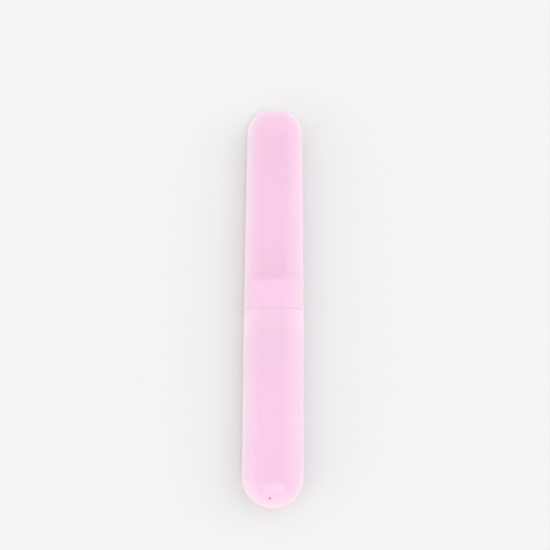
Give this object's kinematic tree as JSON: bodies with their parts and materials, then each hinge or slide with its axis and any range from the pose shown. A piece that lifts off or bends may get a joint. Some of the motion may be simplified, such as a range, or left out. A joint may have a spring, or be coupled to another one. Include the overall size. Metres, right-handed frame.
{
  "type": "toothbrush holder",
  "caption": "Slim flattened travel case for a toothbrush, with rounded ends and a cap that pulls off a neck on the base.",
  "frame": {"origin": "under the middle of the closed case, on the surface that its flat back lies on", "axes": "+X across the width, +Y along the length towards the tip of the cap, +Z out of the front"},
  "size_m": [0.03, 0.205, 0.02],
  "materials": {
    "base_plastic": "pale pink translucent polypropylene with a fine frosted surface",
    "cap_plastic": "pale pink translucent polypropylene with a fine frosted surface, in a thinner wall"
  },
  "bodies": {
    "base": {"base": "base_plastic"},
    "cap": {"cap": "cap_plastic"}
  },
  "joints": [
    {"name": "cap_pull", "type": "slide", "parent": "base", "child": "cap", "axis": [0, 1, 0], "range_m": [0, 0.1]}
  ]
}
